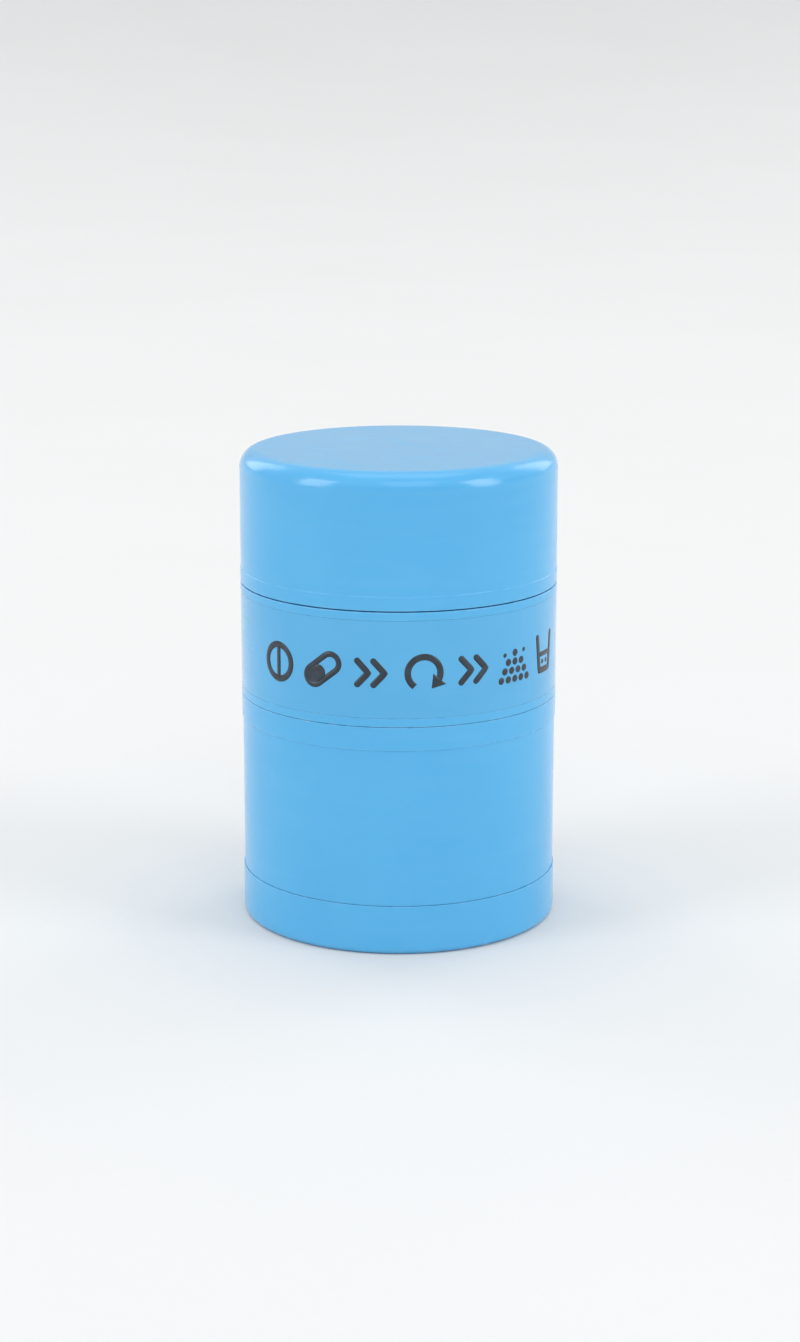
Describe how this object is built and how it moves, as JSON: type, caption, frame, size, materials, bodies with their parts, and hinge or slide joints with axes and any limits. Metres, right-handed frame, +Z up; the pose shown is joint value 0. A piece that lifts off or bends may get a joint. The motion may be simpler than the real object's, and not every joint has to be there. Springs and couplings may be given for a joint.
{
  "type": "pill crusher",
  "caption": "Cylindrical twist-action pill crusher: a screw cap drives a toothed ram into a crushing cup, above a screw-on storage jar and a push-fit base compartment.",
  "frame": {"origin": "centre of the face it stands on", "axes": "+Z up along the cylinder's axis, which both screw threads and the base's push fit share"},
  "size_m": [0.044, 0.044, 0.066],
  "materials": {
    "blue_plastic": "glossy injection-moulded sky-blue polypropylene, slightly translucent",
    "inner_blue_plastic": "the same plastic on inner mouldings, with a plainer moulded surface",
    "liner_plastic": "hard translucent plastic, faintly blue",
    "tooth_plastic": "hard white acetal, satin",
    "seal_rubber": "soft grey translucent silicone",
    "screw_steel": "zinc-plated steel",
    "label_film": "thin clear film over the blue wall, printed with plain dark symbols"
  },
  "bodies": {
    "base": {"base_lid": "blue_plastic", "base_seal": "seal_rubber"},
    "jar": {"storage_jar": "blue_plastic"},
    "jar_ring": {"jar_seal": "seal_rubber"},
    "crusher": {"crusher_body": "blue_plastic", "neck_tube": "inner_blue_plastic", "crush_cup": "liner_plastic", "anvil_plate": "tooth_plastic", "label_band": "label_film"},
    "cap_ring": {"cap_seal": "seal_rubber"},
    "cap": {"cap_shell": "blue_plastic", "cap_core": "inner_blue_plastic", "ram": "inner_blue_plastic", "ram_pad": "tooth_plastic", "ram_screw": "screw_steel"}
  },
  "joints": [
    {"name": "base_pull", "type": "slide", "parent": "base", "child": "jar", "axis": [0, 0, 1], "range_m": [0, 0.02]},
    {"name": "jar_rise", "type": "slide", "parent": "jar", "child": "jar_ring", "axis": [0, 0, 1], "range_m": [0, 0.0241]},
    {"name": "jar_turn", "type": "hinge", "parent": "jar_ring", "child": "crusher", "pos_m": [0, 0, 0.0319], "axis": [0, 0, 1], "range_deg": [0, 2880]},
    {"name": "cap_rise", "type": "slide", "parent": "crusher", "child": "cap_ring", "axis": [0, 0, 1], "range_m": [0, 0.0331]},
    {"name": "cap_turn", "type": "hinge", "parent": "cap_ring", "child": "cap", "pos_m": [0, 0, 0.0476], "axis": [0, 0, 1], "range_deg": [0, 3960]}
  ],
  "couplings": [
    {"joint": "jar_rise", "follows": "jar_turn", "m_per_rad": 0.00047746},
    {"joint": "cap_rise", "follows": "cap_turn", "m_per_rad": 0.00047746}
  ]
}
